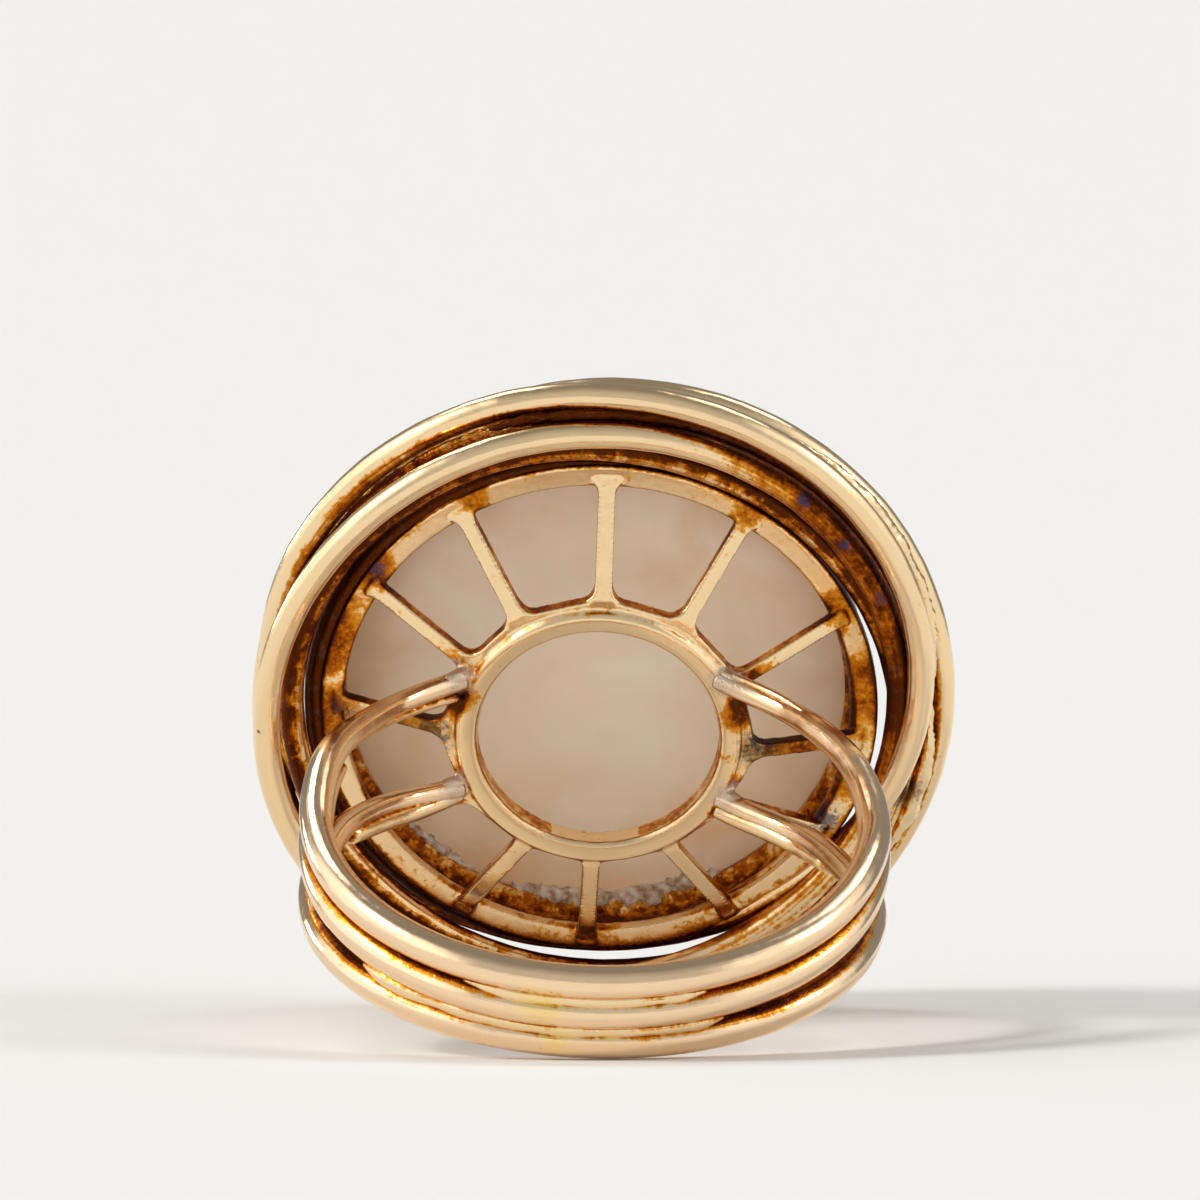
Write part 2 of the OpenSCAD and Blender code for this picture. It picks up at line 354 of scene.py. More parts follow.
    # handling leaves the metal a little dull, and dirt and solder duller still
    worn_dull = reckon("ADD", spread(grime, 0.3, 0.8, wear, 0.42),
                       spread(speckle, 0.35, 0.7, -0.04, 0.08))
    links.new(reckon("ADD", worn_dull, reckon("MULTIPLY", marked["solder"], 0.14), clamp=True),
              shader.inputs["Roughness"])

    # shallow dents from handling, fine scratches, and pits where it is dirty
    dents = spread(cloud(0.9, 2, 0.4), 0.0, 1.0, 0.0, 0.04)
    scratches = reckon("ADD", spread(cloud(22.0, 4, 0.7), 0.0, 1.0, 0.0, 0.003),
                       spread(streaks, 0.0, 1.0, 0.0, 0.012))
    pits = nodes.new("ShaderNodeTexVoronoi")
    pits.inputs["Scale"].default_value = 7
    links.new(in_ring, pits.inputs["Vector"])
    pitted = reckon("MAXIMUM", spread(grime, 0.38, 0.7), marked["solder"])
    pit_depth = reckon("MULTIPLY", spread(pits.outputs["Distance"], 0.0, 0.35, -0.022, 0.0), pitted)
    relief = nodes.new("ShaderNodeBump")
    relief.inputs["Strength"].default_value = 0.8
    relief.inputs["Distance"].default_value = mm
    links.new(reckon("ADD", reckon("ADD", dents, scratches), pit_depth), relief.inputs["Height"])
    links.new(relief.outputs["Normal"], shader.inputs["Normal"])
    return gold


def finish_piece(shape, name, material, node="mounting"):
    """Turns a shape in worn millimetres into a piece of the resting ring."""
    bmesh.ops.recalc_face_normals(shape, faces=shape.faces)
    if shape.calc_volume(signed=True) < 0:
        bmesh.ops.reverse_faces(shape, faces=shape.faces)
    shape.transform(worn)
    data = bpy.data.meshes.new(name)
    shape.to_mesh(data)
    shape.free()
    data.materials.append(material)
    data.shade_smooth()
    piece = bpy.data.objects.new(name, data)
    bpy.context.scene.collection.objects.link(piece)
    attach(piece, "root")
    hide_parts(node)
    return piece


# Each wire's ring radius, its shift right and up, its depth behind the finger,
# how much deeper its right side and its top are, its wire's radius, and how
# far its ring is pulled out of round: wider across, and wider to the upper right
HaloWire = namedtuple("HaloWire", "ring_r right up depth right_deeper top_deeper wire_r wide lean")
halo = {
    "halo_wire_nearest": HaloWire(10.73, -0.52, 0.40, 9.58, 1.20, -0.10, 0.46, 0.0, 0.0),
    "halo_wire_inner": HaloWire(10.22, -0.09, -0.25, 10.70, 0.40, 0.15, 0.43, 0.10, -0.25),
    "halo_wire_crossing": HaloWire(10.95, -0.15, 1.32, 10.85, -0.50, -0.70, 0.47, 0.0, 0.15),
    "halo_wire_middle": HaloWire(10.90, -0.40, -0.65, 11.60, 0.04, 0.46, 0.45, 0.0, 0.0),
    "halo_wire_deepest": HaloWire(11.05, 0.49, -0.64, 12.92, -0.28, 0.96, 0.50, 0.0, 0.06),
    "halo_wire_support": HaloWire(9.22, -0.36, -0.20, 11.30, 0.0, 0.0, 0.40, 0.0, 0.0),
}


def place_halo_wire(wire):
    """Takes a ring round the origin to where the wire's ring lies on the worn ring."""
    tilted = Vector((-wire.right_deeper, wire.ring_r, -wire.top_deeper)).normalized()
    turn = Vector((0, 1, 0)).rotation_difference(tilted).to_matrix().to_4x4()
    return Matrix.Translation((wire.right, wire.depth, wire.up)) @ turn


# The outer wires have been handled most and are the palest
gold = make_gold("gold", stain=0.02, patchy=0.20)
pale_gold = make_gold("pale_gold", shade_and_dirt=0.78, wear=0.15, colour=(0.95, 0.71, 0.42, 1))
pale_wires = ("halo_wire_nearest", "halo_wire_crossing", "halo_wire_deepest")
unevenness = 0.03
metal = []
for number, (wire_name, wire) in enumerate(halo.items()):
    ring = bmesh.new()
    drawn = ring.verts.layers.float_vector.new("drawn")
    bmesh.ops.create_circle(ring, segments=32, radius=wire.wire_r,
                            matrix=Matrix.Translation((wire.ring_r, 0, 0)))
    bmesh.ops.spin(ring, geom=ring.verts[:] + ring.edges[:], cent=(0, 0, 0), axis=(0, 1, 0),
                   angle=math.tau, steps=512, use_merge=True)
    for vert in ring.verts:
        outward = Vector((vert.co.x, 0, vert.co.z)).normalized()
        core = outward * wire.ring_r
        round_it = math.atan2(outward.z, outward.x)
        pull = wire.wide * math.cos(2 * round_it) + wire.lean * math.sin(2 * round_it)
        lump = noise.noise(outward * 2.5 + Vector((0, number * 5, 0)))
        hammered = noise.noise(vert.co * 1.3 + Vector((0, number * 7, 0)))
        offset = vert.co - core
        vert[drawn] = core * 0.12 + Vector((offset.dot(outward), offset.y, number * 9)) * 9
        vert.co = (core + offset * (1 + unevenness * hammered)
                   + outward * (unevenness * lump + pull) + Vector((0, unevenness * lump, 0)))
    ring.transform(place_halo_wire(wire))
    metal.append(finish_piece(ring, wire_name, pale_gold if wire_name in pale_wires else gold))


# Gallery
# The openwork back of the head: a small inner ring, a flange that carries
# twelve spokes, and a flat outer ring about two millimetres deeper. The
# joints are filled with solder, so all of it is one body with soft corners.
head_drop = 0.2
inner_ring_r = 4.45
inner_ring_w = 0.76
inner_ring_t = 0.9
outer_ring_r = 9.38
outer_ring_w = 0.74
gallery_rise = 2.05
inner_back = finger_hole["dims"]["r_mm"] + 0.06
outer_back = inner_back + gallery_rise

# From the head's own frame (x across, y down, z towards the pearl) to the worn one
on_head = Matrix.Translation((0, 0, -head_drop)) @ Matrix.Rotation(-math.pi / 2, 4, "X")


def turn_profile(shape, points, steps=256):
    """Adds the solid that a closed outline (radius, depth) sweeps round the head's axis."""
    corners = [shape.verts.new((radius, 0, depth)) for radius, depth in points]
    edges = [shape.edges.new(pair) for pair in zip(corners, corners[1:] + corners[:1])]
    bmesh.ops.spin(shape, geom=corners + edges, cent=(0, 0, 0), axis=(0, 0, 1),
                   angle=math.tau, steps=steps, use_merge=True)


def add_star(shape, spokes, hub_in, thick, depth_at):
    """Adds a plate: a hub with a hole and spokes whose roots are rounded into it."""
    outline = []
    for spoke in spokes:
        turn = Matrix.Rotation(math.radians(spoke.clock - 90), 3, "Z")
        half = spoke.wide / 2
        side = []
        for step in range(7):
            t = step / 6
            rounding = (half + spoke.fillet) / spoke.hub
            start = Vector((spoke.hub * math.cos(rounding), spoke.hub * math.sin(rounding), 0))
            corner = Vector((spoke.hub, half, 0))
            end = Vector((spoke.hub + spoke.fillet, half, 0))
            side.append(start * (1 - t) ** 2 + corner * 2 * t * (1 - t) + end * t ** 2)
        for out, wider in ((-0.55, 0.0), (-0.30, spoke.flare * 0.25), (-0.1, spoke.flare * 0.8)):
            side.append(Vector((spoke.end + out, half + wider, 0)))
        side.append(Vector((spoke.end, (half + spoke.flare) * 0.6, 0)))
        mirrored = [Vector((point.x, -point.y, 0)) for point in side]
        outline += [turn @ point for point in mirrored + side[::-1]]
    corners = [shape.verts.new(point) for point in outline]
    edges = [shape.edges.new(pair) for pair in zip(corners, corners[1:] + corners[:1])]
    hole = bmesh.ops.create_circle(shape, segments=96, radius=hub_in)["verts"]
    edges += [edge for edge in shape.edges if edge.verts[0] in hole and edge.verts[1] in hole]
    filled = bmesh.ops.triangle_fill(shape, use_beauty=True, use_dissolve=False, edges=edges)
    faces = [item for item in filled["geom"] if isinstance(item, bmesh.types.BMFace)]
    before = set(shape.verts) - set(corners) - set(hole)
    bmesh.ops.solidify(shape, geom=faces, thickness=thick)
    plate = [vert for vert in shape.verts if vert not in before]
    lowest = min(vert.co.z for vert in plate)
    for vert in plate:
        clock = math.degrees(math.atan2(vert.co.y, vert.co.x)) + 90
        nearest = min(spokes, key=lambda spoke: abs((clock - spoke.clock + 180) % 360 - 180))
        vert.co.z += depth_at(math.hypot(vert.co.x, vert.co.y), nearest.proud) - lowest


def melt_together(shape, voxel, soften):
    """Fuses the overlapping bodies of a mesh into one skin and rounds its corners."""
    data = bpy.data.meshes.new("melting")
    bmesh.ops.recalc_face_normals(shape, faces=shape.faces)
    shape.to_mesh(data)
    body = bpy.data.objects.new("melting", data)
    bpy.context.scene.collection.objects.link(body)
    remesh = body.modifiers.new("one skin", "REMESH")
    remesh.mode = "VOXEL"
    remesh.voxel_size = voxel
    smooth = body.modifiers.new("soft corners", "SMOOTH")
    smooth.iterations = soften
    smooth.factor = 0.5
    settled = bpy.context.evaluated_depsgraph_get()
    shape.clear()
    shape.from_mesh(body.evaluated_get(settled).to_mesh())
    bpy.data.objects.remove(body)
    bpy.data.meshes.remove(data)
    return shape


# Each spoke's clock angle from the top of the head, its width, the radius
# where it ends, how far its solder flares out there, how far its end stands
# proud of the outer ring's face, the hub's radius beside it and its rounding
Spoke = namedtuple("Spoke", "clock wide end flare proud hub fillet")
spokes = (
    Spoke(0, 0.58, 9.00, 0.26, 0.02, 5.14, 0.60), Spoke(32, 0.52, 9.00, 0.22, 0.05, 5.14, 0.60),
    Spoke(64, 0.50, 9.15, 0.06, 0.12, 5.12, 0.55), Spoke(95, 0.50, 9.00, 0.24, 0.05, 5.18, 0.62),
    Spoke(120, 0.54, 9.00, 0.12, 0.05, 5.05, 0.35), Spoke(149, 0.56, 9.22, 0.02, 0.16, 4.94, 0.16),
    Spoke(181, 0.60, 9.26, 0.05, 0.14, 4.92, 0.18), Spoke(209, 0.60, 9.22, 0.03, 0.16, 4.94, 0.16),
    Spoke(240, 0.54, 9.00, 0.12, 0.05, 5.05, 0.35), Spoke(270, 0.50, 9.00, 0.28, 0.05, 5.18, 0.62),
    Spoke(300, 0.52, 9.10, 0.14, 0.10, 5.12, 0.55), Spoke(327, 0.56, 9.00, 0.26, 0.03, 5.14, 0.60),
)
hub_out = 5.12
face_in = inner_back + 0.24
slope_end = 9.0
flange_t = 0.52

gallery = bmesh.new()
inner_in = inner_ring_r - inner_ring_w / 2
inner_out = inner_ring_r + inner_ring_w / 2
turn_profile(gallery, ((inner_in + 0.14, inner_back), (inner_out - 0.14, inner_back),
                       (inner_out, inner_back + 0.14), (inner_out, inner_back + inner_ring_t),
                       (inner_in, inner_back + inner_ring_t), (inner_in, inner_back + 0.2)))
outer_in = outer_ring_r - outer_ring_w
outer_out = outer_ring_r + 0.04
turn_profile(gallery, ((outer_in, outer_back), (outer_out, outer_back),
                       (outer_out, outer_back + 0.55), (outer_in, outer_back + 0.5)))
add_star(gallery, spokes, inner_ring_r, flange_t,
         lambda radius, proud: face_in + (outer_back - proud - face_in)
         * min(1, max(0, (radius - hub_out) / (slope_end - hub_out))))

# mounds of solder where the four arms meet the inner ring, and the way each arm leaves
Mound = namedtuple("Mound", "spot leaves")
mounds = (
    Mound((-4.72, 8.92, 1.84), (-0.9, -0.62, 0.0)), Mound((4.32, 8.86, 2.16), (0.95, -0.5, -0.1)),
    Mound((-4.82, 8.92, -2.36), (-0.9, -0.5, -0.05)), Mound((4.42, 8.88, -2.46), (0.95, -0.5, -0.15)),
)
mound_size = (0.80, 0.30, 0.46)
for mound in mounds:
    stretch = (on_head.inverted() @ Matrix.Translation(mound.spot)
               @ Vector(mound.leaves).to_track_quat("X", "Z").to_matrix().to_4x4()
               @ Matrix.Diagonal((*mound_size, 1)))
    bmesh.ops.create_icosphere(gallery, subdivisions=3, radius=1, matrix=stretch)
gallery = melt_together(gallery, voxel=0.07, soften=3)
gallery.transform(on_head)
gallery_gold = make_gold("gallery_gold", shade_and_dirt=0.60, wear=0.16, stain=0.09, patchy=0.07)
metal.append(finish_piece(gallery, "gallery", gallery_gold))


# Bezel
# A plain strip of sheet gold bent round the pearl behind the outer ring, with
# a ledge inside that the pearl's back rests on and an edge rubbed over it.
pearl_r = 8.75
pearl_gap = 0.06
pearl_back = outer_back + 1.75
backing_t = 0.8
dome_base = pearl_back + backing_t + pearl_gap
bezel_in = pearl_r + pearl_gap + 0.04
bezel_out = outer_ring_r - 0.23
pearl_place = Matrix.Translation((-0.15, 0, 0)) @ on_head
bezel_top = dome_base + 0.55
bezel = bmesh.new()
turn_profile(bezel, ((bezel_in - 0.05, outer_back + 0.48), (bezel_out, outer_back + 0.48),
                     (bezel_out + 0.02, pearl_back), (bezel_out, bezel_top - 0.3),
                     (bezel_out - 0.18, bezel_top - 0.05), (bezel_in + 0.1, bezel_top),
                     (bezel_in - 0.08, bezel_top - 0.06), (bezel_in, bezel_top - 0.3),
                     (bezel_in, pearl_back - pearl_gap), (bezel_in - 0.4, pearl_back - pearl_gap),
                     (bezel_in - 0.4, pearl_back - 0.3), (bezel_in - 0.05, pearl_back - 0.55)),
             steps=384)
bezel.transform(pearl_place)
bezel_gold = make_gold("bezel_gold", wear=0.24, stain=0.04, patchy=0.20)
metal.append(finish_piece(bezel, "bezel", bezel_gold))


# Shank wires
# Three round wires of 1.16 mm, filed a little flat where they meet the
# finger. The outer two part towards the head, thin down and run on as arms
# to the inner ring; the middle one lies against the upper one and tapers off
# at the shoulders.
finger_r = finger_hole["dims"]["r_mm"]
shank_wire_r = 0.58
shank_r = finger_r + shank_wire_r - 0.05
wire_pitch = 1.10
splay = math.radians(3.15)
side_f = wire_pitch + shank_r * math.tan(splay)


def draw_wire(shape, path, radii, sides=24):
    """Adds a closed round wire along a path, as if drawn through it, from a circle."""
    drawn = shape.verts.layers.float_vector.new("drawn")
    section = bmesh.ops.create_circle(shape, cap_ends=True, segments=sides, radius=1)["verts"]
    base = [vert.co.copy() for vert in section]
    heading = (path[1] - path[0]).normalized()
    turn = Vector((0, 0, 1)).rotation_difference(heading)
    rim = [edge for edge in shape.edges if edge.verts[0] in section and edge.verts[1] in section]
    verts = section
    for index, point in enumerate(path):
        before = path[max(index - 1, 0)]
        after = path[min(index + 1, len(path) - 1)]
        step = heading.rotation_difference((after - before).normalized())
        heading = (after - before).normalized()
        turn = step @ turn
        if index:
            grown = bmesh.ops.extrude_edge_only(shape, edges=rim)["geom"]
            rim = [item for item in grown if isinstance(item, bmesh.types.BMEdge)
                   and all(vert in grown for vert in item.verts)]
            rim = [edge for edge in rim if len(edge.link_faces) == 1]
            new = {}
            for old in verts:
                for edge in old.link_edges:
                    other = edge.other_vert(old)
                    if other in grown and other not in verts:
                        new[old] = other
            verts = [new[old] for old in verts]
        for vert, offset in zip(verts, base):
            vert.co = point + turn @ (offset * radii[index])
            vert[drawn] = point * 0.12 + offset * 6
    bmesh.ops.contextual_create(shape, geom=rim)


def on_wire(angle, level):
    """The middle of an outer shank wire at an angle from the back, level 1 above or -1 below."""
    across_finger = shank_r * math.sin(angle)
    towards_pearl = -shank_r * math.cos(angle)
    along_finger = level * (side_f + math.tan(splay) * towards_pearl)
    return Vector((across_finger, towards_pearl, along_finger))


def smooth_run(points, steps, relax=0):
    """A smooth curve through points (x, y, z, radius), as a path and its radii."""
    knots = [Vector(point) for point in points]
    knots = [knots[0] * 2 - knots[1]] + knots + [knots[-1] * 2 - knots[-2]]
    run = []
    for index in range(1, len(knots) - 2):
        p0, p1, p2, p3 = knots[index - 1:index + 3]
        for step in range(steps):
            t = step / steps
            run.append(p1 + ((p2 - p0) * t + (p0 * 2 - p1 * 5 + p2 * 4 - p3) * t ** 2
                             + (p1 * 3 - p0 - p2 * 3 + p3) * t ** 3) / 2)
    run.append(knots[-2])
    for _ in range(relax):
        run[1:-1] = [(before + here * 2 + after) / 4
                     for before, here, after in zip(run, run[1:], run[2:])]
    return [point.to_3d() for point in run], [point.w for point in run]


def file_inside(shape):
    """Flattens a wire where it stands in the finger hole."""
    for vert in shape.verts:
        radius = math.hypot(vert.co.x, vert.co.y)
        if radius < finger_r:
            vert.co.x *= finger_r / radius
            vert.co.y *= finger_r / radius


# Where each arm runs once its wire leaves the circle: x, y, z and wire radius
arms = {
    "upper_left": ((-9.22, 1.0, 1.85, 0.57), (-9.00, 3.0, 2.10, 0.54), (-8.40, 4.6, 2.05, 0.47),
                   (-7.75, 5.75, 1.95, 0.42), (-7.15, 6.75, 1.85, 0.39),
                   (-6.50, 7.6, 1.75, 0.38), (-5.60, 8.4, 1.75, 0.37), (-4.60, 9.05, 1.80, 0.36)),
    "upper_right": ((9.25, 1.0, 1.50, 0.56), (8.95, 3.0, 1.75, 0.52), (8.30, 4.5, 2.05, 0.48),
                    (7.60, 5.6, 2.10, 0.45), (6.95, 6.5, 2.10, 0.43), (6.30, 7.4, 2.00, 0.40),
                    (5.30, 8.3, 1.98, 0.38), (4.50, 8.75, 2.10, 0.40), (3.95, 9.05, 2.20, 0.38)),
    "lower_left": ((-9.20, 2.0, -1.65, 0.54), (-8.70, 4.6, -1.70, 0.46), (-7.90, 6.0, -1.85, 0.41),
                   (-7.25, 6.9, -2.00, 0.38), (-6.60, 7.7, -2.20, 0.37),
                   (-5.60, 8.5, -2.40, 0.36), (-4.55, 9.05, -2.40, 0.35)),
    "lower_right": ((9.24, 1.5, -1.90, 0.55), (9.00, 3.2, -2.25, 0.49), (8.60, 4.2, -2.40, 0.46),
                    (7.60, 6.0, -2.40, 0.42), (6.90, 6.9, -2.50, 0.40),
                    (6.25, 7.6, -2.60, 0.38), (5.20, 8.4, -2.60, 0.37), (4.15, 9.05, -2.45, 0.36)),
}
shank_gold = make_gold("shank_gold", shade_and_dirt=0.80, wear=0.12, stain=-0.01,
                       colour=(0.95, 0.70, 0.45, 1))
for wire_name, level in (("upper", 1), ("lower", -1)):
    circle = [(*on_wire(math.radians(angle), level), shank_wire_r) for angle in range(-85, 86, 17)]
    path, radii = smooth_run(arms[wire_name + "_left"][::-1] + tuple(circle)
                             + arms[wire_name + "_right"], 12, relax=60)
    shank_wire = bmesh.new()
    draw_wire(shank_wire, path, radii)
    file_inside(shank_wire)
    metal.append(finish_piece(shank_wire, "shank_wire_" + wire_name, shank_gold))

# The middle wire's two ends: x, y, z and wire radius, three points on each side
middle_ends = ((-8.50, 4.0, 1.20, 0.20), (-8.95, 2.9, 0.98, 0.40), (-9.20, 1.5, 0.62, 0.53),
               (8.55, 4.1, 1.28, 0.20), (9.02, 2.9, 0.95, 0.40), (9.26, 1.6, 0.55, 0.53))
circle = [(*(on_wire(math.radians(angle), 1) - Vector((0, 0, wire_pitch))), shank_wire_r)
          for angle in range(-85, 86, 17)]
path, radii = smooth_run(middle_ends[:3] + tuple(circle) + middle_ends[:2:-1], 12, relax=20)
middle_wire = bmesh.new()
draw_wire(middle_wire, path, radii)
file_inside(middle_wire)
metal.append(finish_piece(middle_wire, "shank_wire_middle", shank_gold))

# solder that ran along the two grooves at the back, from one angle to another
solder_gold = make_gold("solder_gold", shade_and_dirt=0.60, wear=0.20, colour=(0.93, 0.71, 0.42, 1))
for run_name, above, first, last in (("upper", True, -26, 24), ("lower", False, -52, 28)):
    points = []
    for angle in range(first, last + 1, 2):
        upper = on_wire(math.radians(angle), 1)
        middle = upper - Vector((0, 0, wire_pitch))
        lower = on_wire(math.radians(angle), -1)
        between = (upper + middle) / 2 if above else (middle + lower) / 2
        outward = Vector((between.x, between.y, 0)).normalized()
        lump = noise.noise(Vector((angle * 0.11, 3.0 if above else 8.0, 0)))
        fade = min(1, 0.35 + min(angle - first, last - angle) / 8)
        points.append((*(between + outward * (0.10 + 0.05 * lump)), (0.31 + 0.05 * lump) * fade))
    path, radii = smooth_run(points, 3)
    run = bmesh.new()
    draw_wire(run, path, radii, sides=16)
    file_inside(run)
    metal.append(finish_piece(run, "groove_solder_" + run_name, solder_gold))


# Arm bars
# Short ends of thinner wire laid along the arms to stiffen the joints. The
# two lower ones end round and proud; the upper two are thin strips.

# Where each bar runs: x, y, z and radius
bars = {
    "arm_bar_low_left": ((-8.15, 5.2, -2.15, 0.31), (-7.05, 6.7, -2.45, 0.32),
                         (-6.10, 7.8, -2.70, 0.32), (-5.10, 8.7, -2.72, 0.30), (-4.6, 9.0, -2.6, 0.28)),
    "arm_bar_low_right": ((7.80, 5.3, -2.65, 0.31), (6.75, 6.8, -2.85, 0.32),
                          (5.70, 7.8, -2.90, 0.32), (4.70, 8.5, -2.90, 0.30), (4.10, 8.85, -2.8, 0.28)),
    "arm_bar_top_left": ((-8.00, 5.2, 1.67, 0.20), (-6.85, 7.0, 1.45, 0.20),
                         (-5.50, 8.4, 1.27, 0.20), (-4.80, 8.85, 1.26, 0.20)),
    "arm_bar_top_right": ((7.40, 5.8, 2.40, 0.06), (6.40, 7.2, 2.40, 0.13),
                          (5.40, 8.2, 2.38, 0.14), (4.40, 8.8, 2.46, 0.14)),
}
for bar_name, points in bars.items():
    path, radii = smooth_run(points, 8, relax=10)
    start = (path[0] - path[1]).normalized()
    path = [path[0] + start * radii[0] * 0.9, path[0] + start * radii[0] * 0.55] + path
    radii = [radii[0] * 0.35, radii[0] * 0.8] + radii
    bar = bmesh.new()
    draw_wire(bar, path, radii, sides=20)
    metal.append(finish_piece(bar, bar_name, gold))


# Halo solder
# Hard solder ran along the wires where they were joined. It stands in the
# grooves as rough, pitted runs.

# Which wire each run follows, from what angle to what, how far outward and
# deeper than the wire's own middle it lies, and its radius
HaloRun = namedtuple("HaloRun", "wire first last outward deeper run_r")
halo_runs = {
    "halo_solder_left": HaloRun("halo_wire_crossing", 186, 84, -0.52, 0.12, 0.28),
    "halo_solder_right": HaloRun("halo_wire_crossing", 58, -2, 0.36, 0.42, 0.34),
    "halo_solder_low": HaloRun("halo_wire_crossing", -14, -30, -0.30, 0.40, 0.42),
    "halo_solder_side": HaloRun("halo_wire_deepest", 4, -34, -0.35, -0.72, 0.42),
    "halo_solder_top": HaloRun("halo_wire_nearest", 108, 18, 0.42, 0.75, 0.42),
}
for run_name, run in halo_runs.items():
    wire = halo[run.wire]
    place = place_halo_wire(wire)
    points = []
    count = max(4, abs(run.last - run.first) // 2)
    for index in range(count + 1):
        angle = math.radians(run.first + (run.last - run.first) * index / count)
        lump = noise.noise(Vector((index * 0.45, run.first, 0)))
        fade = min(1, 0.15 + min(index, count - index) / 9)
        out = wire.ring_r + run.outward + 0.06 * lump
        spot = place @ Vector((out * math.cos(angle), run.deeper, out * math.sin(angle)))
        points.append((*spot, (run.run_r + 0.07 * lump) * fade))
    path, radii = smooth_run(points, 4)
    bead = bmesh.new()
    draw_wire(bead, path, radii, sides=20)
    bmesh.ops.recalc_face_normals(bead, faces=bead.faces)
    bead.normal_update()
    for vert in bead.verts:
        lumps = 0.05 * noise.noise(vert.co * 4.5) + 0.04 * noise.noise(vert.co * 11)
        vert.co += vert.normal * lumps
    metal.append(finish_piece(bead, run_name, gold if run_name == "halo_solder_top" else solder_gold))


# Pearl
# The back is a flat disc of mother-of-pearl, beige and cloudy; the front is
# a domed half pearl. The two are cemented together.
shell_back = bmesh.new()
turn_profile(shell_back, ((0.0, pearl_back), (pearl_r - 0.08, pearl_back),
                          (pearl_r, pearl_back + 0.08), (pearl_r, pearl_back + backing_t),
                          (0.0, pearl_back + backing_t)), steps=192)
bmesh.ops.remove_doubles(shell_back, verts=shell_back.verts, dist=0.0005)
shell_back.transform(pearl_place)

shell, nodes, links, shader = new_material("mother_of_pearl")
in_ring = find_in_ring(nodes, links)
clouds = nodes.new("ShaderNodeTexNoise")
clouds.inputs["Scale"].default_value = 0.20
clouds.inputs["Detail"].default_value = 4
clouds.inputs["Distortion"].default_value = 0.8
links.new(in_ring, clouds.inputs["Vector"])

# it is warmer and darker towards its edge, partly its own tone and partly painted shade from the bezel
# round it
flat = nodes.new("ShaderNodeVectorMath")
flat.operation = "MULTIPLY"
flat.inputs[1].default_value = (1, 0, 1)
links.new(in_ring, flat.inputs[0])
from_middle = nodes.new("ShaderNodeVectorMath")
from_middle.operation = "LENGTH"
links.new(flat.outputs["Vector"], from_middle.inputs[0])
edge = nodes.new("ShaderNodeMapRange")
edge.inputs["From Min"].default_value = 3.0
edge.inputs["From Max"].default_value = 9.0
edge.inputs["To Max"].default_value = 0.34
links.new(from_middle.outputs["Value"], edge.inputs["Value"])
depth = nodes.new("ShaderNodeMath")
depth.operation = "SUBTRACT"
links.new(clouds.outputs["Fac"], depth.inputs[0])
links.new(edge.outputs["Result"], depth.inputs[1])
tint = nodes.new("ShaderNodeValToRGB")
tint.color_ramp.elements[0].position = 0.08
tint.color_ramp.elements[0].color = (0.78, 0.49, 0.27, 1)
tint.color_ramp.elements[1].position = 0.62
tint.color_ramp.elements[1].color = (0.86, 0.80, 0.70, 1)
tint.color_ramp.elements.new(0.38).color = (0.83, 0.69, 0.54, 1)
links.new(depth.outputs["Value"], tint.inputs["Fac"])
links.new(tint.outputs["Color"], shader.inputs["Base Color"])
shader.inputs["Roughness"].default_value = 0.35
shader.inputs["Coat Weight"].default_value = 0.3
shader.inputs["Coat Roughness"].default_value = 0.15
# a faint warm glow painted in, which lightens the back where it lies in shade
shader.inputs["Emission Color"].default_value = (0.95, 0.72, 0.47, 1)
shader.inputs["Emission Strength"].default_value = 0.11
finish_piece(shell_back, "pearl_back", shell, node="pearl_backing")


def mottle(name, scale, detail, low, low_colour, high, high_colour):
    """A material of two colours in small clouds, and its shader."""
    mottled, nodes, links, shader = new_material(name)
    place = nodes.new("ShaderNodeTexCoord")
    small_clouds = nodes.new("ShaderNodeTexNoise")
    small_clouds.inputs["Scale"].default_value = scale
    small_clouds.inputs["Detail"].default_value = detail
    tint = nodes.new("ShaderNodeValToRGB")
    tint.color_ramp.elements[0].position = low
    tint.color_ramp.elements[0].color = low_colour
    tint.color_ramp.elements[1].position = high
    tint.color_ramp.elements[1].color = high_colour
    links.new(place.outputs["Object"], small_clouds.inputs["Vector"])
    links.new(small_clouds.outputs["Fac"], tint.inputs["Fac"])
    links.new(tint.outputs["Color"], shader.inputs["Base Color"])
    return mottled, shader


# the crust of old cement that squeezed out over the ledge along the lower edge
cement, shader = mottle("cement", 2600, 6, 0.35, (0.36, 0.22, 0.13, 1), 0.60, (0.80, 0.71, 0.62, 1))
shader.inputs["Roughness"].default_value = 0.75
cement_out = 8.42
Crust = namedtuple("Crust", "first last crust_r")
crusts = {"cement_low": Crust(148, 198, 0.32), "cement_left": Crust(208, 230, 0.20)}
for crust_name, (first, last, crust_r) in crusts.items():
    points = []
    for clock in range(first, last + 1, 2):
        lump = noise.noise(Vector((clock * 0.21, 0, 0)))
        fade = min(1, 0.3 + min(clock - first, last - clock) / 10)
        out = cement_out + 0.12 * lump
        angle = math.radians(clock - 90)
        spot = pearl_place @ Vector((out * math.cos(angle), out * math.sin(angle), pearl_back - 0.02))
        points.append((*spot, (crust_r + 0.16 * lump) * fade))
    path, radii = smooth_run(points, 5)
    crust = bmesh.new()
    draw_wire(crust, path, radii, sides=24)
    bmesh.ops.recalc_face_normals(crust, faces=crust.faces)
    crust.normal_update()
    for vert in crust.verts:
        lumps = 0.15 * noise.noise(vert.co * 3.0) + 0.09 * noise.noise(vert.co * 8)
        vert.co += vert.normal * lumps
    finish_piece(crust, crust_name, cement, node="pearl_backing")

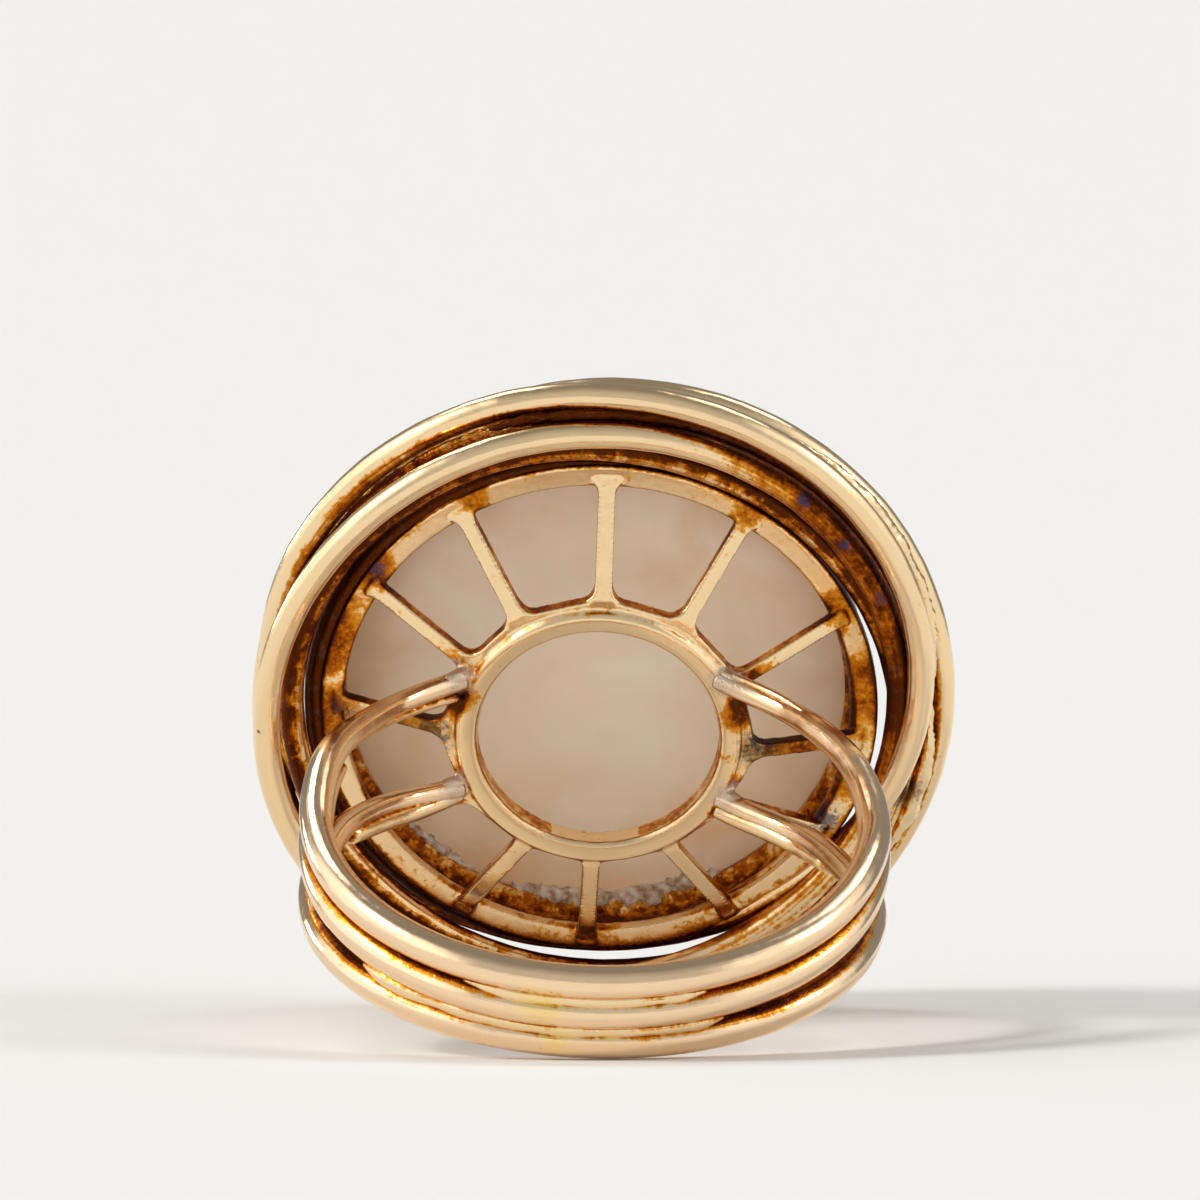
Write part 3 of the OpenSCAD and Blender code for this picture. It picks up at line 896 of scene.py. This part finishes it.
# the domed front is the cap of a ball, white, with a faint pink and green shine painted into its colour
# in small clouds
dome_h = 6.6
dome_r = (pearl_r ** 2 + dome_h ** 2) / (2 * dome_h)
dome = bmesh.new()
bmesh.ops.create_uvsphere(dome, u_segments=192, v_segments=128, radius=dome_r)
bmesh.ops.bisect_plane(dome, geom=dome.verts[:] + dome.edges[:] + dome.faces[:],
                       plane_co=(0, 0, dome_r - dome_h), plane_no=(0, 0, -1), clear_outer=True)
open_edge = [edge for edge in dome.edges if edge.is_boundary]
bmesh.ops.contextual_create(dome, geom=open_edge)
dome.transform(pearl_place @ Matrix.Translation((0, 0, dome_base + dome_h - dome_r)))
nacre, shader = mottle("nacre", 170, 3, 0.35, (0.86, 0.77, 0.74, 1), 0.65, (0.82, 0.83, 0.77, 1))
shader.inputs["Roughness"].default_value = 0.30
shader.inputs["Coat Weight"].default_value = 0.6
shader.inputs["Coat Roughness"].default_value = 0.08
shader.inputs["Sheen Weight"].default_value = 0.25
finish_piece(dome, "pearl_dome_nacre", nacre, node="pearl_dome")


# Recesses
# Where one wire lies close to another the metal is darkened, partly for the dirt
# and old polish that stay there and partly as painted shade, so each spot of the
# metal is told how much metal stands near in front of it.
all_metal = bmesh.new()
for piece in metal:
    all_metal.from_mesh(piece.data)
near = BVHTree.FromBMesh(all_metal)
all_metal.free()
reaches = (0.5 * mm, 1.3 * mm)
recess_shade_gain = 1.6

# Where whole stretches of a piece are darker, partly for tarnish and partly as
# painted shade in deep grooves, and where a negative amount makes them lighter, as on
# the gallery's lower side: angles from the right towards the top between which it
# is, and how much it adds
TarnishAndShade = namedtuple("TarnishAndShade", "piece first last amount")
tarnish_and_shade_stretches = (
    TarnishAndShade("halo_wire_nearest", -75, 62, 0.42), TarnishAndShade("halo_wire_nearest", -15, 72, 0.45),
    TarnishAndShade("halo_wire_inner", -200, 200, 0.20), TarnishAndShade("halo_wire_inner", 95, 160, 0.42),
    TarnishAndShade("halo_wire_inner", 0, 72, 0.12), TarnishAndShade("halo_wire_middle", 85, 200, -0.40),
    TarnishAndShade("halo_wire_support", -200, 200, 0.24), TarnishAndShade("halo_wire_support", 95, 220, 0.38),
    TarnishAndShade("halo_wire_support", -200, -160, 0.35), TarnishAndShade("halo_solder_top", -200, 200, 0.5),
    TarnishAndShade("halo_solder_left", -200, 200, -0.25), TarnishAndShade("gallery", -150, -35, -0.09),
    TarnishAndShade("gallery", 140, 180, 0.15), TarnishAndShade("gallery", -20, 25, 0.15),
)
fade_degrees = 30
to_worn = worn.inverted()
for piece in metal:
    attribute = piece.data.attributes.new("recess_shade_and_dirt", "FLOAT", "POINT")
    values = []
    for vert in piece.data.vertices:
        closeness = 0
        for reach in reaches:
            found = near.find_nearest(vert.co + vert.normal * reach, reach * 1.2)
            gap = reach if found[3] is None else found[3]
            closeness += max(0, 1 - gap / (reach * 0.98)) / len(reaches)
        spot = to_worn @ vert.co
        angle = math.degrees(math.atan2(spot.z, spot.x))
        for tarnish in tarnish_and_shade_stretches:
            if tarnish.piece == piece.name:
                inside = min(angle - tarnish.first, tarnish.last - angle)
                share = min(1, max(0, 0.5 + inside / fade_degrees))
                closeness += tarnish.amount / recess_shade_gain * share
        closeness = max(0, closeness)

        # dirt and painted shade on the spokes' sides, painted shade on the bezel behind the pearl's
        # edge and on the shank wires' undersides
        if piece.name == "gallery":
            # side faces turned away from the pearl's axis are darker, for dirt and painted shade
            side_shade_and_dirt = 0.40 if spot.z > -4 else 0.08
            closeness += side_shade_and_dirt * (1 - abs(vert.normal.dot(pearl_axis))) ** 2
        elif piece.name == "bezel" and spot.y < pearl_back:
            # painted shade on the bezel below the pearl's back
            closeness += 0.20
        elif piece.name.startswith("shank_wire"):
            # painted shade on the side of each shank wire that faces down the finger
            closeness += 0.22 * max(0, -vert.normal.dot(finger_axis))
        values.append(min(1, max(0, closeness * recess_shade_gain)))
    attribute.data.foreach_set("value", values)
